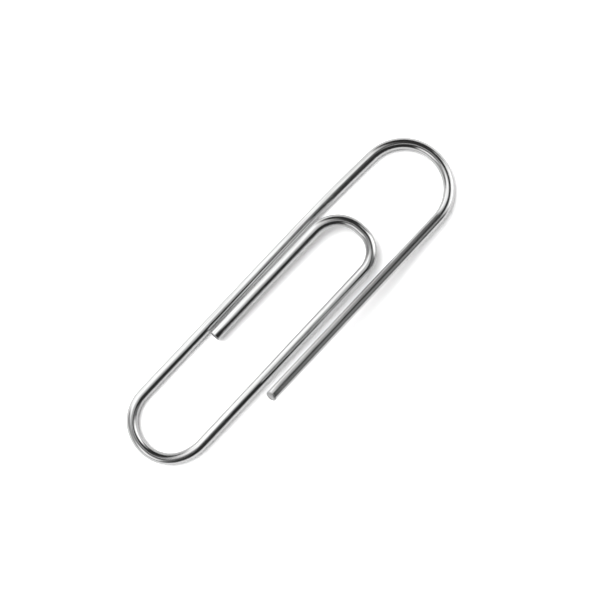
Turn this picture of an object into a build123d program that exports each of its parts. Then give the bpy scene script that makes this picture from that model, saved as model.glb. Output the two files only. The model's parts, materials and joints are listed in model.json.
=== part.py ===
from build123d import *
from math import cos, radians, sin, sqrt, tan
import os

# A wire paper clip, lying on a table: one length of round wire bent into three bends and four legs.
# The outer loop lies flat. The tongue and the tail spring up from it a little, at the heel and the crown.
# The long axis is X, from the heel bend (-X) to the crown bend (+X), and the table is at Z = 0.
# Along the wire: inner leg, tongue bend, tongue leg, heel bend, long leg, shoulder, crown bend, tail leg.
# Sizes are in millimetres and angles in degrees.

# Wire
wire_diameter = 0.90

# Along the clip, pressed flat
clip_length = 33.00           # outside of the heel bend to the outside of the crown bend
heel_eye_length = 9.70        # clear length from the heel bend to the cut of the inner leg
crown_eye_length = 7.25       # clear length from the tongue bend to the crown bend
tail_end_reach = 10.02        # outside of the heel bend to the cut of the tail leg

# Across the clip, pressed flat
heel_width = 6.90             # outside of the long leg to the outside of the tongue leg, at the heel
inner_leg_clearance = 0.02    # between the inner leg and the long leg, where they are closest
tail_leg_clearance = 0.41     # between the tail leg and the tongue leg, at the tail's cut
tongue_leg_lean = 0.40        # the tongue leg opens away from the long leg towards the heel

# Bends, at the centre of the wire
heel_flat = 0.12              # straight wire across the outermost point of each bend
tongue_flat = 0.40
crown_flat = 0.12
heel_bend_skew = 0.14         # how much tighter the heel bend is on the tongue's side
heel_lead_turn = 30.0         # the last part of the heel bend eases into the tongue leg
tongue_bend_skew = 0.33       # how much rounder the tongue bend is beside the inner leg
crown_lead_length = 8.70      # the long leg curves in gently over this length before the crown bend
crown_lead_turn = 2.90

# Spring, as angles above the plane of the outer loop when nothing presses on the clip
tongue_rise = 2.5
tail_rise = 9.0

# Cut ends
cut_slant = 10.0              # both ends are sheared at the same slant, facing up
inner_cut_round = 0.04
tail_cut_round = 0.14

# Worked out from the sizes above, with X from the outside of the heel bend
# and Y from the middle of the heel bend
quarter_turn = 90.0
wire_radius = wire_diameter / 2
lean = radians(tongue_leg_lean)
lead = radians(crown_lead_turn)

heel_radius = (heel_width - wire_diameter - heel_flat) / 2
heel_x = wire_radius
long_leg_x = heel_x + heel_radius
long_leg_y = heel_flat / 2 + heel_radius

heel_tongue_turn = quarter_turn - heel_lead_turn
heel_tongue_radius = heel_radius - heel_bend_skew
turned = radians(heel_tongue_turn)
heel_lead_radius = (heel_radius - heel_tongue_radius * sin(turned)) / (cos(lean) - sin(turned))
heel_lead_x = heel_x + heel_tongue_radius * (1 - cos(turned))
tongue_leg_x = heel_lead_x + heel_lead_radius * (cos(turned) + sin(lean))
tongue_leg_y = -long_leg_y
tongue_x = clip_length - wire_diameter - crown_eye_length - wire_radius


def tongue_line(x):
    """Y of the tongue leg's centre line, drawn on past both of its ends."""
    return tongue_leg_y + tan(lean) * (x - tongue_leg_x)


crown_x = clip_length - wire_radius
crown_lead_radius = crown_lead_length / lead
tail_leg_y = tongue_line(tail_end_reach) - wire_diameter - tail_leg_clearance
crown_start_y = long_leg_y - crown_lead_radius * (1 - cos(lead))
crown_radius = (crown_start_y - tail_leg_y - crown_flat) / (1 + cos(lead))
crown_start_x = crown_x - crown_radius * (1 - sin(lead))
crown_lead_x = crown_start_x - crown_lead_radius * sin(lead)
long_leg_length = crown_lead_x - long_leg_x
tail_leg_length = crown_x - crown_radius - tail_end_reach

# The inner leg keeps its clearance where the long leg has already curved in, at the tongue's tip
curved_in = max(0, tongue_x - crown_lead_x)
long_leg_drop = crown_lead_radius - sqrt(crown_lead_radius**2 - curved_in**2)
inner_leg_y = long_leg_y - long_leg_drop - wire_diameter - inner_leg_clearance
tongue_bend_height = inner_leg_y - tongue_line(tongue_x) - tongue_flat
tongue_corner_radius = (tongue_bend_height - tongue_bend_skew) / (1 + (1 - sin(lean)) / cos(lean))
tongue_round_radius = tongue_corner_radius + tongue_bend_skew
tongue_leg_length = (tongue_x - tongue_corner_radius * (1 - sin(lean)) - tongue_leg_x) / cos(lean)
inner_leg_length = tongue_x - tongue_round_radius - heel_eye_length - wire_diameter

# The origin is under the middle of the clip's box
middle_x = clip_length / 2
middle_y = (long_leg_y + tail_leg_y) / 2


class WirePen:
    """Walks along the centre of the wire, in the plane of the clip, and leaves solid wire behind it."""

    def __init__(self, x, y, heading):
        self.point = Vector(x - middle_x, y - middle_y, wire_radius)
        self.heading = heading

    def forward(self):
        """The direction of travel."""
        return Vector(1, 0, 0).rotate(Axis.Z, self.heading)

    def section(self):
        """The round section of the wire here, square to the direction of travel."""
        return Plane(self.point, x_dir=(0, 0, -1), z_dir=self.forward()) * Circle(wire_radius)

    def straight(self, length):
        """A straight stretch."""
        stretch = extrude(self.section(), amount=length)
        self.point = self.point + self.forward() * length
        return stretch

    def bend(self, radius, turn):
        """An arc of the wire, with the turn in degrees to the left."""
        side = 1 if turn > 0 else -1
        inward = Vector(0, side, 0).rotate(Axis.Z, self.heading)
        pivot = Axis(self.point + inward * radius, (0, 0, side))
        stretch = revolve(self.section(), axis=pivot, revolution_arc=abs(turn))
        self.heading = self.heading + turn
        self.point = pivot.position - inward.rotate(Axis.Z, turn) * radius
        return stretch

    def cut_leg(self, length, edge_round):
        """A straight stretch that ends in a slanted cut, which faces up a little."""
        slant = radians(cut_slant)
        leg = extrude(self.section(), amount=length + wire_diameter * tan(slant))
        self.point = self.point + self.forward() * length
        outward = self.forward() * cos(slant) + Vector(0, 0, sin(slant))
        leg = split(leg, bisect_by=Plane(self.point, z_dir=outward), keep=Keep.BOTTOM)
        cut_face = leg.faces().sort_by(Axis(self.point, self.forward()))[-1]
        return fillet(cut_face.edges(), edge_round)


outer_loop = {}
tail = {}
tongue = {}

# From the middle of the heel bend along the long leg to the tail
pen = WirePen(heel_x, 0, quarter_turn)
heel_hinge = pen.point
outer_loop["heel_bend_long_half"] = pen.straight(heel_flat / 2) + pen.bend(heel_radius, -quarter_turn)
outer_loop["long_leg"] = pen.straight(long_leg_length)
outer_loop["crown_shoulder"] = pen.bend(crown_lead_radius, -crown_lead_turn)
crown_arc = pen.bend(crown_radius, crown_lead_turn - quarter_turn)
outer_loop["crown_bend_long_half"] = crown_arc + pen.straight(crown_flat / 2)
crown_hinge = pen.point
tail["crown_bend_tail_half"] = pen.straight(crown_flat / 2) + pen.bend(crown_radius, -quarter_turn)
tail["tail_leg"] = pen.cut_leg(tail_leg_length, tail_cut_round)

# From the middle of the heel bend along the tongue leg to the inner leg
pen = WirePen(heel_x, 0, -quarter_turn)
heel_arc = pen.straight(heel_flat / 2) + pen.bend(heel_tongue_radius, heel_tongue_turn)
tongue["heel_bend_tongue_half"] = heel_arc + pen.bend(heel_lead_radius, heel_lead_turn + tongue_leg_lean)
tongue["tongue_leg"] = pen.straight(tongue_leg_length)
tongue_corner = pen.bend(tongue_corner_radius, quarter_turn - tongue_leg_lean)
tongue["tongue_bend_leg_half"] = tongue_corner + pen.straight(tongue_flat / 2)
tongue_hinge = pen.point
tongue["tongue_bend_inner_half"] = pen.straight(tongue_flat / 2) + pen.bend(tongue_round_radius, quarter_turn)
tongue["inner_leg"] = pen.cut_leg(inner_leg_length, inner_cut_round)

# The tail and the tongue turn up about the wire's own line, at the outermost point of a bend
tail_axis = Axis(crown_hinge, (0, 1, 0))
tongue_axis = Axis(heel_hinge, (0, -1, 0))
nodes = dict(outer_loop)
nodes.update({name: solid.rotate(tail_axis, tail_rise) for name, solid in tail.items()})
nodes.update({name: solid.rotate(tongue_axis, tongue_rise) for name, solid in tongue.items()})
tongue_hinge = heel_hinge + (tongue_hinge - heel_hinge).rotate(Axis((0, 0, 0), (0, -1, 0)), tongue_rise)

os.makedirs("parts", exist_ok=True)
for name, solid in nodes.items():
    export_step(solid, f"parts/{name}.step")

print("hinge points: heel", heel_hinge, "crown", crown_hinge, "tongue", tongue_hinge)
print("bend radii", heel_radius, heel_lead_radius, crown_radius, tongue_corner_radius, tongue_round_radius)
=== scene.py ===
import json
from collections import namedtuple
from math import cos, pi, radians, sin, sqrt, tan

import bpy
import numpy as np
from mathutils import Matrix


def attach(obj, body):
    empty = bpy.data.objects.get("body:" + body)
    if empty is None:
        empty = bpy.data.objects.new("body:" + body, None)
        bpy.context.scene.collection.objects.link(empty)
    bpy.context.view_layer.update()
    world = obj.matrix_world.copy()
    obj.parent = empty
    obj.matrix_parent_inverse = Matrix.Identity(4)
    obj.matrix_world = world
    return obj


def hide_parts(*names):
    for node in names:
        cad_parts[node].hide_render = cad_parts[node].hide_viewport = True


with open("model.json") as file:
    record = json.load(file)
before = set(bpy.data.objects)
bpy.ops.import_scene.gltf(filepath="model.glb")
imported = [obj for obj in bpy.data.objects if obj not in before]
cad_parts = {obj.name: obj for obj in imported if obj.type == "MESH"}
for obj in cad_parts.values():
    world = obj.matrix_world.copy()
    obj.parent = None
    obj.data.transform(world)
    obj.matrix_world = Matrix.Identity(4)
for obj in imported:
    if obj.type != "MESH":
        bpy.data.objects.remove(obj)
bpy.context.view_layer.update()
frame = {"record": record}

# A wire paper clip lying on a white table, seen from straight above.
# Lengths are in metres and angles in degrees.
# The clip's long axis is X, from the heel bend to the crown bend, and the table is at Z = 0.
mm = 0.001

# Wire
wire_diameter = 0.90 * mm

# Along the clip, pressed flat
clip_length = 33.00 * mm          # outside of the heel bend to the outside of the crown bend
heel_eye_length = 9.70 * mm       # clear length from the heel bend to the cut of the inner leg
crown_eye_length = 7.25 * mm      # clear length from the tongue bend to the crown bend
tail_end_reach = 10.02 * mm       # outside of the heel bend to the cut of the tail leg

# Across the clip, pressed flat
heel_width = 6.90 * mm
inner_leg_clearance = 0.02 * mm
tail_leg_clearance = 0.41 * mm
tongue_leg_lean = 0.40            # the tongue leg opens away from the long leg towards the heel

# Spring, as angles above the plane of the outer loop when nothing presses on the clip
tongue_rise = 2.5
tail_rise = 9.0

# Bends, at the centre of the wire
heel_flat = 0.12 * mm             # straight wire across the outermost point of each bend
tongue_flat = 0.40 * mm
crown_flat = 0.12 * mm
heel_bend_skew = 0.14 * mm
heel_lead_turn = 30.0
tongue_bend_skew = 0.33 * mm
crown_lead_length = 8.70 * mm
crown_lead_turn = 2.90
bend_thinning_share = 0.5         # of the stretch in a bend, by which the wire gets thinner there

# Cut ends. The upper part of a cut was shorn clean, before the rest tore off
cut_slant = 10.0
Cut = namedtuple("Cut", "edge_round shorn_share")
# The inner cut is torn nearly all over, so its face takes the torn part's painted shade
inner_cut = Cut(0.04 * mm, 0.05)
tail_cut = Cut(0.14 * mm, 0.80)
roll_over_share = 0.5             # how much rounder the edge is where the blade came in
tear_depth = 0.012 * mm           # the torn part lies this much deeper than the shorn part
tear_blend_share = 0.08           # of the wire's radius, over which shorn turns to torn
burr_height = 0.02 * mm           # lip of metal where the blade went out
burr_place_share = 0.90           # of the radius
burr_width_share = 0.08
burr_power = 4                    # keeps the lip to the lowest part of the edge

# Mesh
sides = 96
bend_step = 0.07 * mm
straight_step = 0.40 * mm
joint_step = 0.002 * mm           # the last ring before a joint, so that both sides shade alike
fewest_steps = 2                  # from ring to ring in one straight or arc
round_rows = 8                    # over the rounded edge of a cut
face_rows = 14                    # from there to the middle of its face
sharp_edge = 40.0

# Plating. The size of a mark is given along the wire, across it and up, when the wire is straight
drawing_line_size = (16.0 * mm, 0.04 * mm, 0.04 * mm)
streak_size = (6.0 * mm, 0.12 * mm, 0.12 * mm)
wave_size = (2.4 * mm, 0.6 * mm, 0.6 * mm)
scuff_size = (3.0 * mm, 0.9 * mm, 0.9 * mm)
craze_size = (0.03 * mm, 0.4 * mm, 0.4 * mm)
mark_detail = 2.0                 # finer layers of noise in a mark
drawing_line_depth = 0.0006 * mm
streak_depth = 0.002 * mm
wave_depth = 0.012 * mm
craze_depth = 0.0006 * mm
plating_grey = 0.70
streak_grey = 0.58
bend_inside_shade_share = 0.75         # of the plating's grey: painted shade on the inside of a bend
plating_roughness = 0.11
drawing_line_roughness = 0.05
streak_roughness = 0.08
scuff_roughness = 0.08
stretched_roughness = 0.06

# Noise runs from 0 to 1: a mark starts to show at the first share and is full at the second
drawing_line_shares = (0.35, 0.75)
streak_shares = (0.45, 0.70)
scuff_shares = (0.45, 0.70)
stretched_shares = (0.03, 0.16)   # of its length, by which a bend has stretched the wire's outside
bend_inside_shade_shares = (-0.05, -0.20)   # or squeezed its inside together, where the inside gets painted shade

# Sheared steel
cut_streak_size = (0.25 * mm, 0.025 * mm, 0.33 * mm)
cut_grain_size = (0.05 * mm, 0.05 * mm, 0.05 * mm)
cut_grain_detail = 4.0
cut_mark_depth = 0.004 * mm
torn_relief_depth = 0.020 * mm
torn_relief_size = 0.15 * mm      # from one ridge of the torn part to the next
shorn_greys = (0.42, 0.60)
# grey of torn steel, painted darker as shade
torn_and_shade_greys = (0.05, 0.30)
torn_grain_shares = (0.30, 0.75)
shorn_roughness = 0.28
torn_roughness = 0.45
cut_grain_roughness = 0.25

# Photograph
frame_width = 600                 # pixels
picture_scale = 12.84             # pixels to a millimetre on the table
picture_turn = 46.6               # the clip's long axis, up from the picture's right
clip_across_picture = 291.4       # the clip's origin, in pixels from the left and from the top
clip_down_picture = 304.2
pixel_centre = 0.5

# Camera
lens = 100.0
sensor = 36.0
near_share = 0.01                 # of the camera's height
far_share = 4.0                   # of the floor's reach

# Studio. Directions are as they lie in the picture: round from its right, and up from the table.
# The half widths, half heights and soft edges of a panel are slopes from its middle
floor_reach = 3.0
floor_colour = 0.74
floor_seen_colour = 1.24          # for the camera: the floor is white and only close shadows show
floor_mirrored_share = 0.05       # of that brightening, in the wire's reflections
lamp_round = 140.0
lamp_up = 66.0
lamp_width = 40.0                 # degrees across
lamp_light = 2.75
room_light = 0.03
sweep_light = 0.9
sweep_height_share = 0.30         # sine of the angle that the white sweep round the table reaches
Panel = namedtuple("Panel", "round up roll half_width side_edge half_height top_edge light")
panels = {
    "window": Panel(147.0, 35.0, 0.0, 0.38, 0.22, 0.78, 0.45, 1.40),
    "far_wall": Panel(200.0, 40.0, 30.0, 0.34, 0.20, 0.60, 0.20, 0.40),
    "side_panel": Panel(16.0, 28.0, -20.0, 0.36, 0.16, 0.42, 0.14, 1.70),
    "side_strip": Panel(343.0, 51.0, -26.0, 0.12, 0.08, 0.60, 0.15, 0.18),
    "low_panel": Panel(236.0, 38.0, 10.0, 0.22, 0.10, 0.36, 0.10, 1.10),
    "top_panel": Panel(236.0, 86.0, 0.0, 0.24, 0.06, 0.06, 0.10, 0.85),
}

# Worked out from the sizes above, with X from the outside of the heel bend
# and Y from the middle of the heel bend
quarter_turn = 90.0
wire_radius = wire_diameter / 2
lean = radians(tongue_leg_lean)
lead = radians(crown_lead_turn)

heel_radius = (heel_width - wire_diameter - heel_flat) / 2
long_leg_x = wire_radius + heel_radius
long_leg_y = heel_flat / 2 + heel_radius

heel_tongue_turn = quarter_turn - heel_lead_turn
heel_tongue_radius = heel_radius - heel_bend_skew
turned = radians(heel_tongue_turn)
heel_lead_radius = (heel_radius - heel_tongue_radius * sin(turned)) / (cos(lean) - sin(turned))
heel_lead_x = wire_radius + heel_tongue_radius * (1 - cos(turned))
tongue_leg_x = heel_lead_x + heel_lead_radius * (cos(turned) + sin(lean))
tongue_x = clip_length - wire_diameter - crown_eye_length - wire_radius


def tongue_line(x):
    """Y of the tongue leg's centre line, drawn on past both of its ends."""
    return tan(lean) * (x - tongue_leg_x) - long_leg_y


crown_x = clip_length - wire_radius
crown_lead_radius = crown_lead_length / lead
tail_leg_y = tongue_line(tail_end_reach) - wire_diameter - tail_leg_clearance
crown_start_y = long_leg_y - crown_lead_radius * (1 - cos(lead))
crown_radius = (crown_start_y - tail_leg_y - crown_flat) / (1 + cos(lead))
crown_lead_x = crown_x - crown_radius * (1 - sin(lead)) - crown_lead_radius * sin(lead)
long_leg_length = crown_lead_x - long_leg_x
tail_leg_length = crown_x - crown_radius - tail_end_reach

curved_in = max(0, tongue_x - crown_lead_x)
long_leg_drop = crown_lead_radius - sqrt(crown_lead_radius**2 - curved_in**2)
inner_leg_y = long_leg_y - long_leg_drop - wire_diameter - inner_leg_clearance
tongue_bend_height = inner_leg_y - tongue_line(tongue_x) - tongue_flat
tongue_corner_radius = (tongue_bend_height - tongue_bend_skew) / (1 + (1 - sin(lean)) / cos(lean))
tongue_round_radius = tongue_corner_radius + tongue_bend_skew
tongue_leg_length = (tongue_x - tongue_corner_radius * (1 - sin(lean)) - tongue_leg_x) / cos(lean)
inner_end_x = heel_eye_length + wire_diameter
inner_leg_length = tongue_x - tongue_round_radius - inner_end_x

# The origin is under the middle of the clip's box
middle = np.array([clip_length / 2, (long_leg_y + tail_leg_y) / 2])


def straight(length):
    """A move straight ahead, as its length and its turn."""
    return length, 0


def bend(radius, turn):
    """A move round an arc to the right, as its length and its turn."""
    return radius * radians(turn), -radians(turn)


# The wire from the cut of the inner leg to the cut of the tail, as the moves in each body
body_moves = {
    "inner_arm": [
        straight(inner_leg_length),
        bend(tongue_round_radius, quarter_turn),
        straight(tongue_flat / 2),
    ],
    "tongue": [
        straight(tongue_flat / 2),
        bend(tongue_corner_radius, quarter_turn - tongue_leg_lean),
        straight(tongue_leg_length),
        bend(heel_lead_radius, heel_lead_turn + tongue_leg_lean),
        bend(heel_tongue_radius, heel_tongue_turn),
        straight(heel_flat / 2),
    ],
    "outer_loop": [
        straight(heel_flat / 2),
        bend(heel_radius, quarter_turn),
        straight(long_leg_length),
        bend(crown_lead_radius, crown_lead_turn),
        bend(crown_radius, quarter_turn - crown_lead_turn),
        straight(crown_flat / 2),
    ],
    "tail": [
        straight(crown_flat / 2),
        bend(crown_radius, quarter_turn),
        straight(tail_leg_length),
    ],
}

# Where along the clip each body turns up from the flat, and by how much towards +X
heel_hinge_x = wire_radius - middle[0]
crown_hinge_x = crown_x - middle[0]
body_springs = {
    "inner_arm": (heel_hinge_x, tongue_rise),
    "tongue": (heel_hinge_x, tongue_rise),
    "outer_loop": (heel_hinge_x, 0),
    "tail": (crown_hinge_x, -tail_rise),
}


def toward(heading):
    """Unit vectors in the plane of the clip, at these headings in radians."""
    return np.stack([np.cos(heading), np.sin(heading)], -1)


class WireLine:
    """The centre line of the wire, as moves of a length and a turn, one after another.

    The heading grows evenly within a move. So a point some way into a move lies at the end of a
    chord: its length is the way gone times the sine of half the turn over half the turn, and its
    direction is the heading half way through that turn. A straight move is an arc with no turn.
    """

    def __init__(self, start, moves):
        lengths, turns = np.array(moves).T
        self.curvatures = turns / lengths
        self.begins = np.cumsum(lengths) - lengths
        self.headings = np.cumsum(turns) - turns
        chords = self.chord(lengths, turns / 2, self.headings)
        self.starts = np.array(start) + np.cumsum(chords, 0) - chords

    @staticmethod
    def chord(gone, half_turn, heading):
        """The vector from the start of an arc to a point on it."""
        return (gone * np.sinc(half_turn / pi))[..., None] * toward(heading + half_turn)

    def at(self, along):
        """Centre points and headings at these lengths along the wire."""
        move = np.searchsorted(self.begins, along, side="right") - 1
        move = np.maximum(move, 0)
        gone = along - self.begins[move]
        half_turn = self.curvatures[move] * gone / 2
        centres = self.starts[move] + self.chord(gone, half_turn, self.headings[move])
        return centres, self.headings[move] + 2 * half_turn

    def curvature(self, along):
        """Turn to the right for each metre, evened out over a wire diameter to each side."""
        ahead = self.at(along + wire_diameter)[1]
        behind = self.at(along - wire_diameter)[1]
        return (behind - ahead) / (2 * wire_diameter)


all_moves = sum(body_moves.values(), [])
wire_line = WireLine((inner_end_x, inner_leg_y) - middle, all_moves)
angles = np.arange(sides) * 2 * pi / sides


def ring_lengths(start, moves):
    """Where a piece's rings stand along the wire: evenly within each move, closer in the bends."""
    parts = [[start, start + joint_step]]
    for length, turn in moves:
        step = bend_step if turn else straight_step
        count = max(fewest_steps, round(length / step))
        parts.append(start + length * np.arange(1, count + 1) / count)
        start = start + length
    rings = np.concatenate(parts)
    return np.append(rings[:-1], [start - joint_step, start])


def cut_rows(cut):
    """How far out, how wide and how torn the rows of a sheared end are, from its last ring inwards.

    The cut is a plane through the middle of the wire, slanted to face up. The blade came in from
    above. A quarter circle rounds the edge, more at the top, then the face runs in to the middle.
    Below its shorn part the face is torn a little deeper, in uneven ridges that are the product of
    two bent sine waves and die out towards the rim, and a lip of metal stands out at its lower edge.
    """
    depth = -np.sin(angles)
    edge = cut.edge_round * (1 - roll_over_share * depth)
    swing = np.linspace(0, pi / 2, round_rows + 1)[:, None]
    inwards = np.linspace(1, 0, face_rows + 1)[1:-1, None]
    rounded = wire_radius - edge * (1 - np.cos(swing))
    radius = np.concatenate([rounded, (wire_radius - edge) * inwards])
    sunk = np.concatenate([edge * (1 - np.sin(swing)), np.zeros((len(inwards), sides))])
    slanted = radius * depth * tan(radians(cut_slant))
    on_face = np.arange(len(radius))[:, None] >= round_rows
    shorn_to = 2 * cut.shorn_share - 1
    past_shorn = depth * radius / wire_radius - shorn_to
    torn = on_face / (1 + np.exp(-past_shorn / tear_blend_share))
    across_phase = 2 * pi * radius * np.cos(angles) / torn_relief_size
    down_phase = 2 * pi * radius * depth / torn_relief_size
    ridges = np.sin(across_phase + np.sin(down_phase)) * np.sin(down_phase + np.sin(across_phase))
    ridges = ridges * (1 - (radius / wire_radius)**2)
    lip_place = (radius / wire_radius - burr_place_share) / burr_width_share
    lip = burr_height * np.clip(depth, 0, 1)**burr_power * np.exp(-lip_place**2)
    tear = (tear_depth + torn_relief_depth * ridges) * torn
    return slanted - sunk - tear + lip, radius, torn


def wire_grid(start, moves, first_cut, last_cut):
    """Rows over the sides of one piece of straight wire: lengths along it, radii, how torn it is.

    The rows of a cut take the place of the rings in the last diameter before it. The result also
    says which rows belong to a cut.
    """
    rings = ring_lengths(start, moves)
    along = np.repeat(rings[:, None], sides, 1)
    radius = np.full_like(along, wire_radius)
    torn = np.zeros_like(along)
    on_cut = np.zeros(len(rings), int)
    if first_cut:
        out, width, tear = cut_rows(first_cut)
        keep = rings > rings[0] + wire_diameter
        along = np.concatenate([rings[0] - out[::-1], along[keep]])
        radius = np.concatenate([width[::-1], radius[keep]])
        torn = np.concatenate([tear[::-1], torn[keep]])
        on_cut = np.concatenate([np.ones(len(out), int), on_cut[keep]])
    if last_cut:
        out, width, tear = cut_rows(last_cut)
        keep = along[:, 0] < rings[-1] - wire_diameter
        along = np.concatenate([along[keep], rings[-1] + out])
        radius = np.concatenate([radius[keep], width])
        torn = np.concatenate([torn[keep], tear])
        on_cut = np.concatenate([on_cut[keep], np.ones(len(out), int)])
    return along, radius, torn, on_cut


def bent(along, across, up):
    """Straight wire bent into the clip: a point keeps its place across the centre line and above it.

    Metal keeps its volume, so in a bend the stretched outside gets thinner, by a share of its
    stretch in each direction, and the pressed inside thicker. Across the wire that adds up from
    the centre line.
    """
    centres, heading = wire_line.at(along)
    thinner = bend_thinning_share * wire_line.curvature(along) * across
    across = across * (1 - thinner / 2)
    flat = centres + across[..., None] * toward(heading + pi / 2)
    return np.concatenate([flat, (up * (1 - thinner))[..., None]], -1)


def sprung(points, hinge_x, rise):
    """Points of the flat clip turned about a line across it, so that what lies ahead of it rises.

    The line passes through the middle of the wire. The turn is in degrees, and the result stands
    on the table.
    """
    x = points[:, 0] - hinge_x
    y = points[:, 1]
    z = points[:, 2]
    turn = radians(rise)
    turned_x = hinge_x + x * cos(turn) - z * sin(turn)
    turned_z = wire_radius + x * sin(turn) + z * cos(turn)
    return np.stack([turned_x, y, turned_z], -1)


def keep_on_points(mesh, name, values):
    """Stores numbers, or vectors in rows of three, on a mesh's points for its materials to read."""
    kind, field = ("FLOAT_VECTOR", "vector") if values.ndim == 2 else ("FLOAT", "value")
    mesh.attributes.new(name, kind, "POINT").data.foreach_set(field, values.ravel())


def wire_piece(name, start, moves, spring, first_cut, last_cut, materials):
    """One stretch of wire as a closed mesh: rings, quads between them and a fan at each end."""
    along, radius, torn, on_cut = wire_grid(start, moves, first_cut, last_cut)
    rows = len(along)
    ends = along[[0, -1]].mean(1)
    torn = np.append(torn.ravel(), torn[[0, -1]].mean(1))
    along = np.append(along.ravel(), ends)
    across = np.append((radius * np.cos(angles)).ravel(), [0, 0])
    up = np.append((radius * np.sin(angles)).ravel(), [0, 0])
    points = sprung(bent(along, across, up), *spring)

    grid = np.arange(rows * sides).reshape(rows, sides)
    turned_grid = np.roll(grid, -1, 1)
    quads = np.stack([grid[:-1], turned_grid[:-1], turned_grid[1:], grid[1:]], -1).reshape(-1, 4)
    first_pole, last_pole = rows * sides, rows * sides + 1
    first_fan = np.stack([turned_grid[0], grid[0], np.full(sides, first_pole)], -1)
    last_fan = np.stack([grid[-1], turned_grid[-1], np.full(sides, last_pole)], -1)
    faces = quads.tolist() + first_fan.tolist() + last_fan.tolist()

    mesh = bpy.data.meshes.new(name)
    mesh.from_pydata(points, [], faces)
    for material in materials:
        mesh.materials.append(material)
    between = np.minimum(on_cut[:-1], on_cut[1:])
    slots = np.repeat(np.append(between, on_cut[[0, -1]]), sides)
    mesh.polygons.foreach_set("material_index", slots)
    mesh.polygons.foreach_set("use_smooth", np.ones(len(faces), bool))
    mesh.set_sharp_from_angle(angle=radians(sharp_edge))

    keep_on_points(mesh, "straight_wire", np.stack([along, across, up], -1))
    keep_on_points(mesh, "stretch", wire_line.curvature(along) * across)
    keep_on_points(mesh, "torn", torn)
    mesh.update()
    piece = bpy.data.objects.new(name, mesh)
    bpy.context.scene.collection.objects.link(piece)
    return piece


# Sockets of a Mix node that take its share, its first colour and its second
mix_share, mix_first, mix_second = 0, 6, 7


class Value:
    """One output of a shader node. Sums, products and the like of values add Math nodes."""

    def __init__(self, shader, socket):
        self.shader = shader
        self.socket = socket

    def maths(self, operation, *terms):
        """The result of a Math node on these terms."""
        sockets = dict(enumerate(terms))
        return self.shader.node("ShaderNodeMath", {"operation": operation}, sockets)["Value"]

    def __add__(self, other):
        return self.maths("ADD", self, other)

    def __sub__(self, other):
        return self.maths("SUBTRACT", self, other)

    def __rsub__(self, other):
        return self.maths("SUBTRACT", other, self)

    def __mul__(self, other):
        return self.maths("MULTIPLY", self, other)

    def __truediv__(self, other):
        return self.maths("DIVIDE", self, other)

    def __rtruediv__(self, other):
        return self.maths("DIVIDE", other, self)

    def __abs__(self):
        return self.maths("ABSOLUTE", self)

    __radd__ = __add__
    __rmul__ = __mul__

    def fade(self, zero, one):
        """0 at one value, 1 at the other and beyond, and a smooth step between them."""
        settings = {"interpolation_type": "SMOOTHSTEP"}
        sockets = {"Value": self, "From Min": zero, "From Max": one}
        return self.shader.node("ShaderNodeMapRange", settings, sockets)["Result"]


class Shader:
    """The node tree of a material or of the world."""

    def __init__(self, owner):
        owner.use_nodes = True
        self.tree = owner.node_tree
        self.tree.nodes.clear()

    def node(self, kind, settings=None, sockets=None):
        """Adds a node with these settings and with these values or links at its sockets."""
        made = self.tree.nodes.new(kind)
        for name, setting in (settings or {}).items():
            setattr(made, name, setting)
        for name, value in (sockets or {}).items():
            if isinstance(value, Value):
                self.tree.links.new(value.socket, made.inputs[name])
            else:
                made.inputs[name].default_value = value
        return {out.name: Value(self, out) for out in made.outputs if out.enabled}

    def mix(self, share, first, second):
        """A colour part of the way from the first to the second."""
        sockets = {mix_share: share, mix_first: first, mix_second: second}
        return self.node("ShaderNodeMix", {"data_type": "RGBA"}, sockets)["Result"]

    def attribute(self, name, output):
        """Numbers or vectors that are stored on the piece's points."""
        return self.node("ShaderNodeAttribute", {"attribute_name": name})[output]

    def noise(self, place, size, detail=mark_detail):
        """Noise of a size that differs along and across: places are divided by it first."""
        terms = {0: place, 1: size}
        scaled = self.node("ShaderNodeVectorMath", {"operation": "DIVIDE"}, terms)["Vector"]
        sockets = {"Vector": scaled, "Scale": 1.0, "Detail": detail}
        return self.node("ShaderNodeTexNoise", {}, sockets)["Fac"]

    def metal(self, colour, roughness, height):
        """A metal surface with marks of these heights, in metres, as the tree's output."""
        bump = {"Strength": 1.0, "Distance": 1.0, "Height": height}
        normal = self.node("ShaderNodeBump", {}, bump)["Normal"]
        sockets = {"Base Color": colour, "Metallic": 1.0, "Roughness": roughness, "Normal": normal}
        surface = self.node("ShaderNodeBsdfPrincipled", {}, sockets)["BSDF"]
        self.node("ShaderNodeOutputMaterial", {}, {"Surface": surface})


def grey(value):
    """A neutral colour."""
    return value, value, value, 1.0


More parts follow.
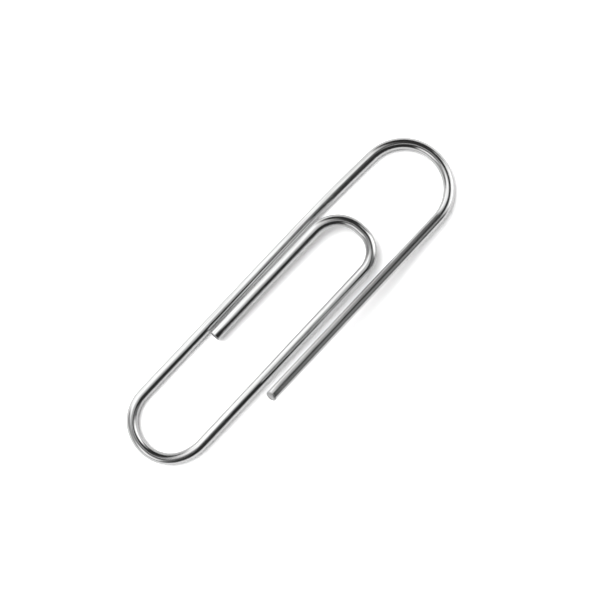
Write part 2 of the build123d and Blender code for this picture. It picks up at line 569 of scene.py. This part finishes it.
def plated_wire_material():
    """Bright plating over drawn wire.

    Fine lines and coarser, darker streaks run along it from drawing. Its surface waves a little,
    and it is scuffed in patches. Where a bend stretched it, it is crazed and duller, and the inside
    of a bend is painted darker, as shade.
    """
    material = bpy.data.materials.new("plated_wire")
    shader = Shader(material)
    place = shader.attribute("straight_wire", "Vector")
    stretch = shader.attribute("stretch", "Fac")
    lines = shader.noise(place, drawing_line_size)
    streaks = shader.noise(place, streak_size)
    waves = shader.noise(place, wave_size)
    crazing = shader.noise(place, craze_size)
    scuffed = shader.noise(place, scuff_size).fade(*scuff_shares)
    streaked = streaks.fade(*streak_shares)
    stretched = stretch.fade(*stretched_shares)
    bend_inside_shade = stretch.fade(*bend_inside_shade_shares)

    # Painted shade: the plating is coloured darker on the inside of each bend
    shaded_plating = grey(plating_grey * bend_inside_shade_share)
    shaded_streak = grey(streak_grey * bend_inside_shade_share)
    bright = shader.mix(streaked, grey(plating_grey), grey(streak_grey))
    bend_shaded_colour = shader.mix(streaked, shaded_plating, shaded_streak)
    colour = shader.mix(bend_inside_shade, bright, bend_shaded_colour)
    drawn = drawing_line_roughness * lines.fade(*drawing_line_shares) + streak_roughness * streaked
    worn = scuff_roughness * scuffed + stretched_roughness * stretched
    along_wire = drawing_line_depth * lines + streak_depth * streaks
    height = along_wire + wave_depth * waves + craze_depth * crazing * stretched
    shader.metal(colour, plating_roughness + drawn + worn, height)
    return material


def sheared_steel_material():
    """Bare steel on the cuts: streaked where the blade sheared it, rough and greyer where it tore,
    and painted dark there as shade.
    """
    material = bpy.data.materials.new("sheared_steel")
    shader = Shader(material)
    place = shader.attribute("straight_wire", "Vector")
    torn = shader.attribute("torn", "Fac")
    streaks = shader.noise(place, cut_streak_size)
    grain = shader.noise(place, cut_grain_size, cut_grain_detail)
    shorn_colour = shader.mix(streaks, *map(grey, shorn_greys))
    # Painted shade: the torn part of a cut is coloured dark
    torn_and_shade_colour = shader.mix(grain.fade(*torn_grain_shares), *map(grey, torn_and_shade_greys))
    colour = shader.mix(torn, shorn_colour, torn_and_shade_colour)
    face_roughness = shorn_roughness + (torn_roughness - shorn_roughness) * torn
    roughness = face_roughness + cut_grain_roughness * grain
    shader.metal(colour, roughness, cut_mark_depth * (streaks + grain))
    return material


def picture_direction(round_angle, up_angle):
    """A unit vector from the clip towards a place in the studio."""
    heading = radians(round_angle - picture_turn)
    rise = radians(up_angle)
    return np.array([cos(rise) * cos(heading), cos(rise) * sin(heading), sin(rise)])


def studio_world():
    """A white sweep and soft panels far off in a dim room, which the camera sees as plain white.

    A panel is a rectangle that may be rolled about its middle. A direction lies in it where its
    slopes sideways and upwards from the panel's middle are both smaller than the half width and
    the half height.
    """
    world = bpy.data.worlds.new("studio")
    bpy.context.scene.world = world
    shader = Shader(world)
    direction = shader.node("ShaderNodeTexCoord")["Generated"]

    def along(axis):
        """How far the direction goes along an axis."""
        sockets = {0: direction, 1: axis}
        return shader.node("ShaderNodeVectorMath", {"operation": "DOT_PRODUCT"}, sockets)["Value"]

    height = along((0, 0, 1))
    light = room_light + sweep_light * height.fade(sweep_height_share, 0)
    for panel in panels.values():
        middle_axis = picture_direction(panel.round, panel.up)
        level_axis = picture_direction(panel.round + quarter_turn, 0)
        upright_axis = np.cross(middle_axis, level_axis)
        roll = radians(panel.roll)
        side_axis = level_axis * cos(roll) + upright_axis * sin(roll)
        ahead = along(middle_axis)
        sideways = abs(along(side_axis) / ahead)
        upwards = abs(along(np.cross(middle_axis, side_axis)) / ahead)
        wide = sideways.fade(panel.half_width + panel.side_edge, panel.half_width - panel.side_edge)
        high = upwards.fade(panel.half_height + panel.top_edge, panel.half_height - panel.top_edge)
        light = light + panel.light * wide * high * ahead.fade(0, panel.side_edge)
    seen = shader.node("ShaderNodeLightPath")["Is Camera Ray"]
    sockets = {"Color": grey(1.0), "Strength": light + seen * (1 - light)}
    background = shader.node("ShaderNodeBackground", {}, sockets)["Background"]
    shader.node("ShaderNodeOutputWorld", {}, {"Surface": background})


def soft_lamp():
    """A wide lamp high on one side, which lights the table and is not seen in the wire."""
    data = bpy.data.lights.new("soft_lamp", "SUN")
    data.energy = lamp_light
    data.angle = radians(lamp_width)
    lamp = bpy.data.objects.new("soft_lamp", data)
    lamp.rotation_euler = (0, radians(quarter_turn - lamp_up), radians(lamp_round - picture_turn))
    lamp.visible_glossy = False
    bpy.context.scene.collection.objects.link(lamp)


def floor_material():
    """White paper that keeps shadows. The camera and, much less, reflections see it brighter."""
    material = bpy.data.materials.new("white_table")
    shader = Shader(material)
    path = shader.node("ShaderNodeLightPath")
    mirrored = path["Is Glossy Ray"] + path["Is Transmission Ray"]
    seen = path["Is Camera Ray"] + floor_mirrored_share * mirrored
    colour = shader.mix(seen, grey(floor_colour), grey(floor_seen_colour))
    paper = shader.node("ShaderNodeBsdfDiffuse", {}, {"Color": colour})["BSDF"]
    shader.node("ShaderNodeOutputMaterial", {}, {"Surface": paper})
    return material


def table():
    """The white floor that the clip lies on."""
    corners = floor_reach * np.array([[-1, -1, 0], [1, -1, 0], [1, 1, 0], [-1, 1, 0]])
    mesh = bpy.data.meshes.new("white_table")
    mesh.from_pydata(corners, [], [[0, 1, 2, 3]])
    mesh.materials.append(floor_material())
    floor = bpy.data.objects.new("white_table", mesh)
    bpy.context.scene.collection.objects.link(floor)


def overhead_camera():
    """A camera straight above the table, placed so that the clip lies as it does in the picture."""
    middle_pixel = frame_width / 2 - pixel_centre
    right = (middle_pixel - clip_across_picture) / picture_scale * mm
    rise = (clip_down_picture - middle_pixel) / picture_scale * mm
    turn = radians(-picture_turn)
    x = right * cos(turn) - rise * sin(turn)
    y = right * sin(turn) + rise * cos(turn)
    height = frame_width / picture_scale * mm * lens / sensor
    data = bpy.data.cameras.new("overhead")
    data.lens = lens
    data.sensor_width = sensor
    data.clip_start = near_share * height
    data.clip_end = far_share * floor_reach
    camera = bpy.data.objects.new("overhead", data)
    camera.location = (x, y, wire_radius + height)
    camera.rotation_euler = (0, 0, turn)
    bpy.context.scene.collection.objects.link(camera)
    bpy.context.scene.camera = camera


def clip():
    """The wire in four pieces, one for each body, from the inner cut to the tail cut."""
    materials = [plated_wire_material(), sheared_steel_material()]
    bodies = frame["record"]["behaviour"]["bodies"]
    start = 0
    for body, moves in body_moves.items():
        first_cut = inner_cut if body == "inner_arm" else None
        last_cut = tail_cut if body == "tail" else None
        spring = body_springs[body]
        piece = wire_piece(body + "_wire", start, moves, spring, first_cut, last_cut, materials)
        start = start + sum(length for length, turn in moves)
        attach(piece, body)
        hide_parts(*bodies[body])


bpy.context.scene.view_settings.view_transform = "Standard"
clip()
table()
studio_world()
soft_lamp()
overhead_camera()
